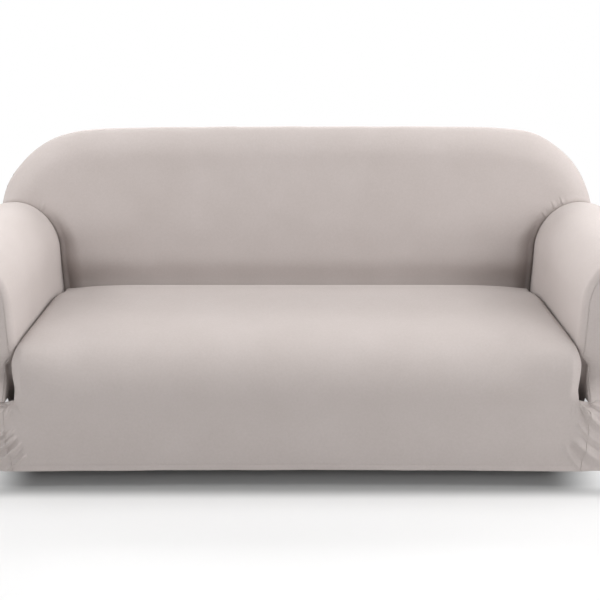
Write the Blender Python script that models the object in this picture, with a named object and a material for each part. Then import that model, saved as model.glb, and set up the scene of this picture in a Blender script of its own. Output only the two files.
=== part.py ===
"""Fitted stretch cover for a three-seat sofa with rolled arms: six cloth panels, hollow inside.

Metres, +Z up, the front faces -Y and the hem lies at Z = 0. Each panel is its outer surface, thickened
inwards. Where two panels are sewn, both edges turn inwards and lie face to face, a hair apart.
Lengths below are measured from a line a little in front of the middle; MIDDLE_Y moves that to the middle.
"""

import math

import bpy
import numpy as np
from mathutils import Matrix

# Cloth and seams
CLOTH = 0.003
MITRE = 0.75
HEM_LEVEL = 0.002
MIDDLE_Y = 0.0223
GAP = 0.0006
TURN = 0.0045
ALLOWANCE = 0.008
TUCK = 0.05
TURN_STEPS = 2
MOST_BEND = math.cos(math.radians(140))

# Seat cushion
SEAT_HALF = 0.7500
SEAT_TOP = 0.353
SEAT_PITCH = 0.011
SEAT_CORNER_DROP = 0.016
SEAT_REAR = 0.1494
FRONT_FLAT = -0.210
FRONT_DEEP = 0.225
FRONT_BREAK = 0.200
SOFT_NOSE = 2.5
BOXY_NOSE = 5.0
FRONT_LEAN = 0.004
HEM_BOW = 0.009
SEAT_TURN = 0.028
SEAT_TUCK = 0.050
PINCH = 0.213

# Rolled arm: section in X and Z
ARM_IN = 0.7503
ARM_FOOT = 0.220
ROLL_X = 0.8930
ROLL_Z = 0.4550
ROLL_A = 0.1427
ROLL_B = 0.1530
ARM_OUT_HEM = 1.0180
ARM_OUT_BULGE = 0.010
FRONT_SEAM = -0.3860
FRONT_ROUND = 0.0220
INNER_ROUND = 0.0290
FOOT_ROUND = 0.0340
FRONT_ANGLE = math.radians(70)
REAR_SEAM = 0.3850
REAR_ROUND = 0.060
REAR_START = 0.335
YIELD_START = 0.155
YIELD = 0.190
DROP_START = 0.100
DROP_LONG = 0.300
DROP_HIGH = 0.208
DROP_FROM = 0.300

# Back
BACK_FOOT = 0.1500
BACK_LEAN = 0.075
RIDGE_Y = 0.270
BULLNOSE = 0.085
SIDE_DEEP = 0.030
SIDE_WIDE = 0.058
BACK_END = 0.958
RIDGE_TOP = 0.8235

# Outline of the back's top, from the middle to the end, seen from the front: (x, z)
TOP_RIGHT = (
    (0.000, 0.8235), (0.200, 0.8235), (0.400, 0.8235), (0.540, 0.8225), (0.620, 0.8200),
    (0.680, 0.8160), (0.722, 0.8100), (0.762, 0.7985), (0.803, 0.7770), (0.843, 0.7490),
    (0.879, 0.7150), (0.908, 0.6770), (0.931, 0.6370), (0.948, 0.5980), (0.958, 0.5550),
)
TOP_LEFT = (
    (0.000, 0.8235), (0.200, 0.8230), (0.400, 0.8215), (0.520, 0.8195), (0.610, 0.8165),
    (0.675, 0.8115), (0.722, 0.8030), (0.764, 0.7900), (0.806, 0.7690), (0.848, 0.7390),
    (0.885, 0.7030), (0.917, 0.6650), (0.941, 0.6250), (0.954, 0.5890), (0.958, 0.5550),
)

# Pull lines by the foot of each arm: start (x, z), end (x, z), half width, height
FOLDS_RIGHT = (
    (0.766, 0.187, 0.841, 0.115, 0.0070, 0.0090),
    (0.752, 0.195, 0.788, 0.098, 0.0070, -0.0052),
    (0.752, 0.148, 0.839, 0.064, 0.0060, 0.0044),
    (0.747, 0.101, 0.842, 0.016, 0.0087, 0.0080),
    (0.737, 0.092, 0.817, -0.011, 0.0078, -0.0062),
    (0.718, 0.087, 0.778, -0.004, 0.0068, 0.0040),
)
FOLDS_LEFT = (
    (0.765, 0.204, 0.793, 0.143, 0.0065, -0.0050),
    (0.781, 0.126, 0.858, 0.058, 0.0054, 0.0052),
    (0.752, 0.109, 0.854, 0.030, 0.0060, 0.0072),
    (0.740, 0.089, 0.840, 0.002, 0.0057, 0.0062),
    (0.728, 0.053, 0.806, -0.011, 0.0057, 0.0048),
)
SIDES = {
    "right": {"sign": 1, "top": TOP_RIGHT, "folds": FOLDS_RIGHT},
    "left": {"sign": -1, "top": TOP_LEFT, "folds": FOLDS_LEFT},
}

LOW_Z = (0.0, 0.014, 0.028, 0.043, 0.058, 0.072, 0.088, 0.105, 0.122, 0.140, 0.158, 0.173, 0.185, 0.194,
         0.203, PINCH)

# Where each row of the back meets the arm, as a place on the arm's section (see arm_section), then
# the same row's place at the middle of the back: (section, middle y or None, middle z)
REAR_ROWS = (
    (0.00, None, 0.220), (0.25, None, 0.285), (0.50, None, 0.345), (0.75, None, 0.400),
    (1.00, None, 0.455), (1.09, None, 0.510), (1.18, None, 0.565), (1.27, None, 0.617),
    (1.36, None, 0.667), (1.45, None, 0.712), (1.53, None, 0.750), (1.585, None, 0.782),
    (1.620, None, 0.805), (1.640, None, 0.818), (1.652, RIDGE_Y, RIDGE_TOP),
)
BEHIND_ROWS = (
    (1.656, 0.300, 0.2990, 0.8150), (1.662, 0.326, 0.3230, 0.7930), (1.672, 0.349, 0.3360, 0.7600),
    (1.692, 0.368, 0.3420, 0.7100), (1.725, 0.380, 0.3470, 0.6550), (1.775, 0.385, 0.3530, 0.5950),
    (1.840, 0.385, 0.3590, 0.5350), (1.920, 0.385, 0.3650, 0.4750), (2.000, 0.385, 0.3710, 0.4150),
    (2.150, 0.385, 0.3770, 0.3550), (2.320, 0.385, 0.3830, 0.2850), (2.500, 0.385, 0.3890, 0.2150),
    (2.680, 0.385, 0.3950, 0.1400), (2.840, 0.385, 0.4000, 0.0700), (3.000, 0.385, 0.4050, 0.0000),
)

# Which way the back's cloth faces along that line, in plan: 0 to the front, 90 outwards, 180 to the rear
FACING_Q = (1.45, 1.53, 1.585, 1.62, 1.64, 1.652, 1.656, 1.662, 1.672, 1.692, 1.725, 1.775, 1.84)
FACING = (0, 8, 25, 50, 70, 82, 90, 98, 110, 132, 155, 174, 180)

# Heights of the arm's front edge above the pinch on the inside, and down the outside
INNER_Z = (ARM_FOOT, 0.236, 0.255, 0.282, 0.325, 0.368, 0.412, ROLL_Z)
OUTER_Z = (0.368, 0.282, PINCH, 0.140, 0.072, 0.0)

# Places on the roll's front edge. They lean outwards of the rear ones, to meet the back's end square on
ARCH_QS = (1.10, 1.20, 1.30, 1.40, 1.50, 1.60, 1.69, 1.74, 1.785, 1.82, 1.855, 1.885, 1.92, 1.95, 1.975, 2.0)


def vec(*values):
    return np.array(values, float)


def unit(v):
    return v / np.linalg.norm(v)


def mix(a, b, t):
    return a + (b - a) * t


def smooth(t):
    t = min(max(t, 0.0), 1.0)
    return t * t * (3 - 2 * t)


def across(v, along):
    """The part of v square to along, at length one."""
    return unit(v - np.dot(v, along) * along)


# ---------------------------------------------------------------- cloth

class Panel:
    """Faces gathered from strips of points. Points that coincide become one."""

    def __init__(self):
        self.points = []
        self.index = {}
        self.faces = []

    def place(self, p):
        if abs(p[2]) < HEM_LEVEL:
            p = p * vec(1, 1, 0)
        key = tuple(int(round(float(c) * 2e5)) for c in p)
        if key not in self.index:
            self.index[key] = len(self.points)
            self.points.append(tuple(float(c) for c in p))
        return self.index[key]

    def grid(self, rows):
        for low, high in zip(rows, rows[1:]):
            for j in range(len(low) - 1):
                ring = [low[j], low[j + 1], high[j + 1], high[j]]
                if self.cut_from_first(ring):
                    halves = ((0, 1, 2), (0, 2, 3))
                else:
                    halves = ((0, 1, 3), (1, 2, 3))
                for half in halves:
                    face = [self.place(ring[k]) for k in half]
                    if len(set(face)) == 3:
                        self.faces.append(face)

    @staticmethod
    def cut_from_first(ring):
        """Cloths that lie face to face are cut along the same diagonals: the shorter one, or the higher."""
        first = np.linalg.norm(ring[2] - ring[0])
        second = np.linalg.norm(ring[3] - ring[1])
        if abs(first - second) > 0.0004:
            return first < second
        tilt = vec(0, 0.3, 1)
        highs = [float(np.dot(p, tilt)) for p in ring]
        return highs.index(max(highs)) % 2 == 0

    def object(self, name, outward, color):
        """The panel as a closed cloth. Its outer side faces outward on the whole, and the cloth lies within."""
        total = np.zeros(3)
        for face in self.faces:
            corners = [np.array(self.points[i]) for i in face]
            for b, c in zip(corners[1:], corners[2:]):
                total += np.cross(b - corners[0], c - corners[0])
        faces = self.faces if np.dot(total, outward) > 0 else [f[::-1] for f in self.faces]
        mesh = bpy.data.meshes.new(name)
        mesh.from_pydata(*thickened(self.points, faces))
        mesh.transform(Matrix.Translation((0, MIDDLE_Y, 0)))
        obj = bpy.data.objects.new(name, mesh)
        bpy.context.scene.collection.objects.link(obj)
        obj.data.materials.append(cloth_material(name, color))
        return obj


def thickened(points, faces):
    """A closed cloth: the given outer side, an inner side CLOTH behind it, and a rim round its free edges."""
    points = np.array(points)
    around = [[] for _ in points]
    for face in faces:
        for k, i in enumerate(face):
            ahead = points[face[(k + 1) % len(face)]] - points[i]
            behind = points[face[k - 1]] - points[i]
            normal = np.cross(ahead, behind)
            size = np.linalg.norm(normal)
            if size > 1e-12:
                angle = math.atan2(size, float(np.dot(ahead, behind)))
                around[i].append((angle, normal / size))
    inner = np.array(points)
    for i, corners in enumerate(around):
        normal = unit(sum(angle * n for angle, n in corners))
        tightest = min(float(np.dot(normal, n)) for _, n in corners)
        inner[i] = points[i] - normal * CLOTH / max(tightest, MITRE)
        if abs(points[i][2]) < 1e-6:
            inner[i][2] = points[i][2]
    count = len(points)
    edges = {(face[k - 1], i) for face in faces for k, i in enumerate(face)}
    rim = [[b, a, a + count, b + count] for a, b in sorted(edges) if (b, a) not in edges]
    behind = [[i + count for i in face[::-1]] for face in faces]
    return np.concatenate([points, inner]).tolist(), [], faces + behind + rim


def cloth_material(name, color):
    material = bpy.data.materials.new(name + "_cloth")
    material.use_nodes = True
    shader = material.node_tree.nodes["Principled BSDF"]
    shader.inputs["Base Color"].default_value = (*color, 1)
    shader.inputs["Roughness"].default_value = 0.92
    return material


def turned(crease, arrive, inward, radius, depth):
    """Points where the cloth leaves its face, bends round and runs in, along a line square to the seam."""
    bend = math.acos(max(MOST_BEND, min(1.0, float(np.dot(arrive, inward)))))
    reach = radius * math.tan(bend / 2)
    aside = across(inward, arrive)
    start = crease - reach * arrive
    line = []
    for k in range(TURN_STEPS + 1):
        angle = bend * k / TURN_STEPS
        line.append(start + radius * (math.sin(angle) * arrive + (1 - math.cos(angle)) * aside))
    line.append(crease + (reach + depth) * inward)
    return line


def seam(crease, along, normal_a, normal_b, radius, depth):
    """Both turned edges of one seam point. Seen from outside with along pointing up, a is on the left
    of b where normal x along points from a to the seam."""
    inward = across(-(normal_a + normal_b), along)
    arrive_a = across(np.cross(normal_a, along), along)
    arrive_b = across(np.cross(along, normal_b), along)
    apart = across(arrive_a, inward) * GAP / 2
    return (
        turned(crease - apart, arrive_a, inward, radius, depth),
        turned(crease + apart, arrive_b, inward, radius, depth),
    )


def tangents(points):
    ahead = [points[min(i + 1, len(points) - 1)] for i in range(len(points))]
    behind = [points[max(i - 1, 0)] for i in range(len(points))]
    return [unit(a - b) for a, b in zip(ahead, behind)]


def fold_height(x, z, folds):
    """How far the pull lines stand out of the cloth at a place on the front."""
    total = 0.0
    for x0, z0, x1, z1, half, high in folds:
        long = math.hypot(x1 - x0, z1 - z0)
        ux = (x1 - x0) / long
        uz = (z1 - z0) / long
        t = ((x - x0) * ux + (z - z0) * uz) / long
        off = (x - x0) * uz - (z - z0) * ux
        fade = smooth((t + 0.12) / 0.24) * smooth((1.05 - t) / 0.75)
        total += high * fade * math.exp(-(off / half) ** 2)
    return total


# ---------------------------------------------------------------- arms

def arm_section(q):
    """Place and outward normal on the arm's section: 0 to 1 inside face, 1 to 2 roll, 2 to 3 outside."""
    if q <= 1:
        return vec(ARM_IN, 0, mix(ARM_FOOT, ROLL_Z, q)), vec(-1, 0, 0)
    if q <= 2:
        angle = math.pi * (2 - q)
        place = vec(ROLL_X + ROLL_A * math.cos(angle), 0, ROLL_Z + ROLL_B * math.sin(angle))
        return place, unit(vec(math.cos(angle) / ROLL_A, 0, math.sin(angle) / ROLL_B))
    down = q - 2
    wide = ROLL_X + ROLL_A
    x = mix(wide, ARM_OUT_HEM, down ** 1.5) + ARM_OUT_BULGE * math.sin(math.pi * down) * 0.5
    return vec(x, 0, ROLL_Z * (1 - down)), unit(vec(1, 0, 0.04 * (down - 0.3)))


def arm_drop(y):
    """Share of the roll's height that is left, as the arm rounds down towards the rear."""
    t = min(max((y - DROP_START) / DROP_LONG, 0.0), 0.98)
    left = DROP_HIGH * math.sqrt(1 - t * t)
    high = ROLL_Z + ROLL_B
    return (high - DROP_HIGH + left - DROP_FROM) / (high - DROP_FROM)


def arm_point(q, y, inset=0.0):
    place, normal = arm_section(q)
    if y > REAR_START:
        inset += REAR_ROUND - math.sqrt(REAR_ROUND ** 2 - (y - REAR_START) ** 2)
    past = y - YIELD_START
    inset += YIELD * (past + math.hypot(past, 0.02)) / 2 * (1 - smooth((q - 1.05) / 0.45))
    p = place - inset * normal
    if p[2] > DROP_FROM:
        p[2] = DROP_FROM + (p[2] - DROP_FROM) * arm_drop(y)
    p[1] = y
    return p


def arm_normal(q, y):
    h = 1e-3
    low = max(q - h, 0.0)
    high = min(q + h, 3.0)
    along = arm_point(high, y) - arm_point(low, y)
    rear = arm_point(q, y) - arm_point(q, y - h)
    return unit(np.cross(along, rear))


def front_seam_y(q):
    """The arm's front edge: it swells forward low down, where it meets the skirt."""
    z = arm_section(q)[0][2]
    if q <= 1:
        return FRONT_SEAM - 0.045 * (1 - smooth((z - PINCH) / 0.060))
    if q <= 2:
        return FRONT_SEAM
    return FRONT_SEAM - 0.028 * (1 - smooth(z / 0.320))


def front_round(q):
    """Radius of the arm's front edge, which is rounder low down beside the seat."""
    low = mix(FOOT_ROUND, INNER_ROUND, smooth((arm_section(q)[0][2] - ARM_FOOT) / 0.10))
    return mix(low, FRONT_ROUND, smooth((q - 0.7) / 0.6))


def front_edge(q, angle):
    """A point on the rounded front edge: angle 0 is the arm's side, a right angle faces the front."""
    radius = front_round(q)
    p = arm_section(q)[0] - radius * (1 - math.cos(angle)) * arm_section(q)[1]
    p[1] = front_seam_y(q) + radius * (math.sin(FRONT_ANGLE) - math.sin(angle))
    return p


FRONT_QS = tuple(
    [(z - ARM_FOOT) / (ROLL_Z - ARM_FOOT) for z in INNER_Z]
    + list(ARCH_QS)
    + [3 - z / ROLL_Z for z in OUTER_Z]
)


def front_seam():
    """Turned edges of the arm panel and of the arm front, for each place in FRONT_QS."""
    places = [front_edge(q, FRONT_ANGLE) for q in FRONT_QS]
    out = []
    for q, p, along in zip(FRONT_QS, places, tangents(places)):
        normal = arm_section(q)[1] * math.cos(FRONT_ANGLE) + vec(0, -math.sin(FRONT_ANGLE), 0)
        normal = across(normal, along)
        front, panel = seam(p, along, normal, normal, TURN, ALLOWANCE)
        out.append((panel, front))
    return out


# ---------------------------------------------------------------- back

def outline_at(side, t):
    """Outline of the back's top, t from 0 in the middle to 1 at the end."""
    points = side["top"]
    place = t * (len(points) - 1)
    i = min(int(place), len(points) - 2)
    part = place - i
    around = [points[min(max(k, 0), len(points) - 1)] for k in (i - 1, i, i + 1, i + 2)]
    out = []
    for axis in (0, 1):
        a, b, c, d = (p[axis] for p in around)
        out.append(
            b + 0.5 * part * (c - a + part * (2 * a - 5 * b + 4 * c - d + part * (3 * (b - c) + d - a)))
        )
    return out


def outline_points(side):
    return np.array([outline_at(side, k / 140) for k in range(141)])


def side_round(z):
    """How far the back's edge beside the arm bends away, and how wide that bend is."""
    fade = smooth((z - 0.40) / 0.20)
    return SIDE_DEEP * (1 - fade), SIDE_WIDE - 0.020 * fade


def back_front_y(x, z, outline):
    """Depth of the inside back: upright at the seat, leaning above it, bending back at its top and ends."""
    lean = BACK_FOOT + BACK_LEAN * smooth((z - 0.31) / 0.60) ** 0.9
    deep, wide = side_round(z)
    off = math.hypot((abs(x) - ROLL_X) / ROLL_A, max(z - ROLL_Z, 0.0) / ROLL_B) - 1
    lean += deep * min(max(1 - 0.147 * off / wide, 0.0), 1.0) ** 2.2
    near = float(np.sqrt(((outline - (x, z)) ** 2).sum(axis=1)).min())
    soft = BULLNOSE
    if near >= soft:
        return lean
    t = 1 - near / soft
    return lean + (RIDGE_Y - lean) * (1 - math.sqrt(max(0.0, 1 - t * t)))


def rear_line(side):
    """The crease where back and arm meet, from the seat over the roll to the rear hem: [(q, point)]."""
    outline = outline_points(side)
    line = []
    for q, middle_y, middle_z in REAR_ROWS:
        y = BACK_FOOT
        for _ in range(8):
            p = arm_point(q, y)
            y = back_front_y(p[0], p[2], outline) if middle_y is None else RIDGE_Y
        line.append((q, arm_point(q, y)))
    for q, y, middle_y, middle_z in BEHIND_ROWS:
        line.append((q, arm_point(q, y)))
    return line


def back_half(side):
    """Rows of the right or left half of the back, from its middle outwards, and its seam with the arm."""
    outline = outline_points(side)
    steps = [0, 0.12, 0.23, 0.33, 0.41, 0.49, 0.56, 0.63, 0.70, 0.77, 0.83, 0.89, 1.0]
    top = [outline_at(side, t) for t in steps]
    end_z = top[-1][1]
    line = rear_line(side)
    rows = []
    middles = [(m, z) for _, m, z in REAR_ROWS] + [(m, z) for _, _, m, z in BEHIND_ROWS]
    for (q, end), (middle_y, middle_z) in zip(line, middles):
        row = []
        for x, z in top:
            lift = (z - end_z) / (RIDGE_TOP - end_z)
            px = x * min(end[0], BACK_END) / BACK_END
            pz = mix(end[2], middle_z, lift)
            if middle_y is None:
                py = back_front_y(px, pz, outline)
            else:
                py = mix(end[1], middle_y, lift)
            row.append(vec(px, py, pz))
        rows.append(row)
    places = [p for _, p in line]
    seams = []
    for (q, p), along, row in zip(line, tangents(places), rows):
        normal_arm = across(arm_normal(q, p[1]), along)
        deep, wide = side_round(p[2])
        facing = max(math.radians(float(np.interp(q, FACING_Q, FACING))), math.atan(2.2 * deep / wide) * (q < 1.4))
        normal_back = across(vec(math.sin(facing), -math.cos(facing), 0), along)
        deep = mix(TUCK, ALLOWANCE, smooth((q - 1.40) / 0.2))
        seams.append(seam(p, along, normal_arm, normal_back, TURN, deep))
    for row, (_, back_edge) in zip(rows, seams):
        row[-1] = back_edge[0]
        row.extend(back_edge[1:])
    return rows, [arm_edge for arm_edge, _ in seams]


def mirrored(p):
    return p * vec(-1, 1, 1)


def make_back():
    right, right_arm = back_half(SIDES["right"])
    left, left_arm = back_half(SIDES["left"])
    panel = Panel()
    panel.grid([[mirrored(p) for p in l[:0:-1]] + r for l, r in zip(left, right)])
    panel.object("back_panel", vec(0, 0, 1), (0.60, 0.56, 0.53))
    return {"right": right_arm, "left": left_arm}


def make_arm_panel(side, rear_edges, front_edges):
    """The arm's side cloth, from its front edge back to the crease with the back."""
    rear_qs = [row[0] for row in REAR_ROWS + BEHIND_ROWS]
    rows = []
    for front_q, rear_q, rear, front in zip(FRONT_QS, rear_qs, rear_edges, front_edges):
        row = list(front[::-1])
        for share in (0.67, 0.34, 0.0):
            row.append(front_edge(front_q, FRONT_ANGLE * share))
        start = row[-1][1]
        end = rear[0][1]
        swing = float(np.interp(rear_q, (1.64, 1.652, 1.70, 1.85), (0, 1, 1, 0)))
        for t in (0.15, 0.30, 0.45, 0.57, 0.67, 0.76, 0.84, 0.90, 0.95):
            q = mix(front_q, rear_q, mix(t ** 1.5, t ** 3, swing))
            row.append(arm_point(q, mix(start, end, mix(t, 1 - (1 - t) ** 2, swing))))
        row.extend(rear)
        rows.append(row)
    panel = Panel()
    flip = mirrored if SIDES[side]["sign"] < 0 else np.array
    panel.grid([[flip(p) for p in row] for row in rows])
    panel.object("arm_panel_" + side, vec(0, 0, 1), (0.60, 0.56, 0.53))


# ---------------------------------------------------------------- seat and arm fronts

def skirt_y(x, z):
    """Depth of the cloth's front below the cushion, before its pull lines."""
    low = 1 - min(z / FRONT_BREAK, 1.0)
    return FRONT_FLAT - FRONT_DEEP - low * (FRONT_LEAN + HEM_BOW * (abs(x) / 0.79) ** 2)


def skirt_seam_x(z):
    """The seam between seat and arm front: it runs out from the pinch to the hem."""
    return SEAT_HALF + 0.033 * smooth((PINCH - z) / 0.036) - 0.012 * smooth((0.10 - z) / 0.10)


def skirt_seam(side):
    """Turned edges of the arm front and of the seat for each height in LOW_Z."""
    folds = SIDES[side]["folds"]
    places = []
    for z in LOW_Z:
        x = skirt_seam_x(z)
        places.append(vec(x, skirt_y(x, z) - fold_height(x, z, folds), z))
    out = []
    for p, along in zip(places, tangents(places)):
        normal = across(vec(0, -1, 0), along)
        depth = mix(ALLOWANCE, 0.004, smooth((p[2] - 0.18) / 0.027))
        out.append(seam(p, along, normal, normal, TURN, depth))
    return out


def make_arm_front(side, low_edges, seam_edges):
    folds = SIDES[side]["folds"]
    shares = (0.92, 0.83, 0.73, 0.61, 0.46, 0.25)
    heights = list(LOW_Z) + list(INNER_Z)

    def middle(z):
        return vec(ROLL_X, -0.4040 - 0.040 * (1 - smooth(z / 0.34)), z)

    def settle(p):
        return p - vec(0, fold_height(p[0], p[2], folds), 0)

    def row_of(edge, center):
        flat = edge[0] + vec(0, fold_height(edge[0][0], edge[0][2], folds), 0)
        row = list(edge[::-1])
        for share in shares:
            p = mix(center, flat, share)
            p[1] = mix(center[1], flat[1], share ** 2.5)
            row.append(settle(p))
        return row

    inner = [row_of(edge, middle(z)) for edge, z in zip(low_edges, LOW_Z)]
    upper = seam_edges[: len(INNER_Z) + len(ARCH_QS)]
    inner += [row_of(edge, middle(min(z, ROLL_Z))) for edge, z in zip(upper, INNER_Z)]
    spine = [settle(middle(z)) for z in heights]
    rows = [row + [s] for row, s in zip(inner, spine)]
    rows += [row_of(edge, middle(ROLL_Z)) + [spine[-1]] for edge in upper[len(INNER_Z):]]
    outer = [row_of(seam_edges[len(INNER_Z) + len(ARCH_QS) - 1], middle(ROLL_Z))]
    outer += [row_of(edge, middle(z)) for edge, z in zip(seam_edges[-len(OUTER_Z):], OUTER_Z)]
    flip = mirrored if SIDES[side]["sign"] < 0 else np.array
    panel = Panel()
    panel.grid([[flip(p) for p in row] for row in rows])
    panel.grid([[flip(p) for p in row] for row in outer])
    stops = [len(heights) - 1] + [heights.index(z) for z in OUTER_Z]
    for k in range(len(outer) - 1):
        down = [spine[i] for i in range(stops[k], stops[k + 1] - 1, -1)]
        panel.faces.append([panel.place(flip(p)) for p in [outer[k][-1]] + down + [outer[k + 1][-1]]])
    panel.object("arm_front_" + side, vec(0, -1, 0), (0.58, 0.54, 0.51))


def seat_top(x, y):
    """Height of the cushion's flat top: it rises a little towards the front and drops at its rear corners."""
    pitch = SEAT_PITCH * (1 - smooth((0.11 - y) / 0.15))
    corner = max((abs(x) - 0.50) / 0.25, 0.0) ** 2.3 * smooth((y - 0.02) / 0.12)
    return SEAT_TOP - pitch - SEAT_CORNER_DROP * corner


def nose(power):
    """The cushion's front, evenly spaced from its flat top down to its foot: rows of (y, z)."""
    a = np.linspace(0, math.pi / 2, 1201)
    y = FRONT_FLAT - FRONT_DEEP * np.sin(a) ** (2 / power)
    z = FRONT_BREAK + (SEAT_TOP - FRONT_BREAK) * np.cos(a) ** (2 / power)
    run = np.concatenate([[0.0], np.cumsum(np.hypot(np.diff(y), np.diff(z)))])
    even = np.linspace(0, run[-1], 401)
    return np.stack([np.interp(even, run, y), np.interp(even, run, z)], axis=1)


SOFT = nose(SOFT_NOSE)
BOXY = nose(BOXY_NOSE)
NOSE_SHARES = (0.14, 0.28, 0.40, 0.50, 0.58, 0.655, 0.73, 0.81, 0.88, 0.945)


def nose_point(x, share):
    """A place on the cushion's front, which is round in the middle and boxy at its ends."""
    k = share * (len(SOFT) - 1)
    i = min(int(k), len(SOFT) - 2)
    soft = mix(SOFT[i], SOFT[i + 1], k - i)
    boxy = mix(BOXY[i], BOXY[i + 1], k - i)
    y, z = mix(soft, boxy, smooth((abs(x) - 0.56) / 0.16))
    return vec(x, y, z)


def make_seat(edges):
    """The cloth over the seat cushion and down to the hem, tucked at its rear and by the arms."""
    columns = np.array([0.0, 0.15, 0.30, 0.45, 0.58, 0.70, 0.80, 0.88, 0.935, 0.97])
    columns = np.concatenate([-columns[:0:-1], columns])
    limit = SEAT_HALF - GAP / 2
    panel = Panel()
    rows = []
    flats = [(y, 0.0) for y in (SEAT_REAR - SEAT_TURN, 0.08, 0.01, -0.07, -0.14, FRONT_FLAT)]
    for k, (y, share) in enumerate(flats + [(None, share) for share in NOSE_SHARES]):

        def place(x):
            return vec(x, y, seat_top(x, y)) if y is not None else nose_point(x, share)

        height = place(limit)[2] - PINCH
        radius = mix(TURN, SEAT_TURN, smooth(height / 0.05))
        depth = mix(0.014, SEAT_TUCK, smooth(height / 0.03))
        x_end = limit - radius
        _, y_end, z_end = place(x_end)
        if k == 0:
            edge = [
                vec(
                    x_end + SEAT_TURN * math.sin(math.pi / 2 * i / TURN_STEPS),
                    y + SEAT_TURN * math.sin(math.pi / 2 * i / TURN_STEPS),
                    z_end - SEAT_TURN * (1 - math.cos(math.pi / 2 * i / TURN_STEPS)),
                )
                for i in range(TURN_STEPS + 1)
            ]
            edge.append(vec(limit, SEAT_REAR, z_end - SEAT_TURN - SEAT_TUCK))
        else:
            inward = vec(0, math.sin(math.pi / 2 * share), -math.cos(math.pi / 2 * share))
            edge = turned(vec(limit, y_end, z_end), vec(1, 0, 0), inward, radius, depth)
        middle = [place(c * x_end) for c in columns]
        rows.append([mirrored(p) for p in edge[::-1]] + middle + edge)
        if k == 0:
            rear = rows[0]
            reach = TURN_STEPS + 1
            strips = []
            for i in range(TURN_STEPS + 2):
                down = edge[0][2] - edge[i][2]
                strip = [p + vec(0, edge[i][1] - y, -down) for p in middle]
                strips.append([mirrored(edge[i])] + strip + [edge[i]])
            strips[0] = rear[reach:-reach]
            panel.grid(strips[::-1])
    for i in range(len(LOW_Z) - 1, -1, -1):
        z = LOW_Z[i]
        right = edges["right"][i]
        left = edges["left"][i]
        middle = []
        for c in columns:
            x = c * (right[0][0] if c > 0 else left[0][0])
            folds = SIDES["right" if c > 0 else "left"]["folds"]
            middle.append(vec(x, skirt_y(x, z) - fold_height(abs(x), z, folds), z))
        rows.append([mirrored(p) for p in left[::-1]] + middle + list(right))
    panel.grid(rows)
    panel.object("seat_panel", vec(0, 0, 1), (0.61, 0.57, 0.54))


def main():
    for obj in list(bpy.data.objects):
        bpy.data.objects.remove(obj)
    rear_edges = make_back()
    seat_edges = {}
    for side in SIDES:
        front = front_seam()
        low = skirt_seam(side)
        make_arm_panel(side, rear_edges[side], [panel for panel, _ in front])
        make_arm_front(side, [a for a, _ in low], [face for _, face in front])
        seat_edges[side] = [b for _, b in low]
    make_seat(seat_edges)


main()
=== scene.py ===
"""Looks of a fitted stretch cover for a three-seat sofa: six thin sheets of cloth on the six CAD panels.

Lengths are in metres, measured from the same line as in the CAD source; MIDDLE_Y moves that to the middle.
Each sheet is drawn densely from the CAD's kind of named values, gets its pull lines, tucks and hem, and is
then given the thickness of real cloth. Sheets that are sewn together turn inwards and lie face to face.
"""

import math

import bpy
import numpy as np
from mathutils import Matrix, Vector


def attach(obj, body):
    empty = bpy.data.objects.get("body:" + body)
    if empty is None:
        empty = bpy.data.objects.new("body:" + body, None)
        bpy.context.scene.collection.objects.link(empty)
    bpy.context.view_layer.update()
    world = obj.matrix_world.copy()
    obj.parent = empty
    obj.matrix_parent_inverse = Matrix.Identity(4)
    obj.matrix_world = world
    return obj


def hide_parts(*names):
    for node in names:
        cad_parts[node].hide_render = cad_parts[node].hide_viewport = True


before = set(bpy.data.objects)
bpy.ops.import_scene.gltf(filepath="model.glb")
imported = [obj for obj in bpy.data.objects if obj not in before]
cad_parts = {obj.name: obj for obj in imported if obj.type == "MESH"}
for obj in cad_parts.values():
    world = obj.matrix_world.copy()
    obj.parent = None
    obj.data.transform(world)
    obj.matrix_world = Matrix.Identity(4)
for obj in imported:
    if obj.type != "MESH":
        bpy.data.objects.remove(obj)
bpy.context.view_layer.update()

# ---- named values, mostly as in the CAD source

MIDDLE_Y = 0.0223
GAP = 0.0006
FINE_GAP = 0.0002
TURN = 0.0045
FINE_TURN = 0.0012
ALLOWANCE = 0.008
TUCK = 0.05
MOST_BEND = math.cos(math.radians(140))

SEAT_HALF = 0.75
SEAT_TOP = 0.353
SEAT_PITCH = 0.011
SEAT_CORNER_DROP = 0.016
SEAT_REAR = 0.1494
FRONT_FLAT = -0.21
FRONT_DEEP = 0.225
FRONT_BREAK = 0.2
SOFT_NOSE = 2.5
BOXY_NOSE = 5.0
FRONT_LEAN = 0.004
HEM_BOW = 0.009
SEAT_TURN = 0.028
NOSE_TURN = 0.011
BEVEL = 0.75
BEVEL_FROM = 0.727
BEVEL_SOFT = 0.003
SEAT_TUCK = 0.05
PINCH = 0.206
SEAM_OUT = 0.033
SEAM_BACK = 0.012

ARM_IN = 0.7503
ARM_FOOT = 0.212
ROLL_X = 0.893
ROLL_Z = 0.455
ROLL_A = 0.1427
ROLL_B = 0.153
ARM_OUT_HEM = 1.018
ARM_OUT_BULGE = 0.01
FRONT_SEAM = -0.386
FRONT_ROUND = 0.022
INNER_ROUND = 0.024
FLARE = 0.028
FLARE_SAG = 0.014
FLARE_ROUND = 0.008
FLARE_TOP = 0.284
FLARE_END = -0.35
FOOT_TUCK = 0.065
FACING_MIDDLE = -0.4
FACING_LEAN = 0.042
FRONT_ANGLE = math.radians(70)
REAR_ROUND = 0.06
REAR_START = 0.335
YIELD_START = 0.11
YIELD = 0.165
DROP_START = 0.1
DROP_LONG = 0.3
DROP_HIGH = 0.208
DROP_FROM = 0.3

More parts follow.
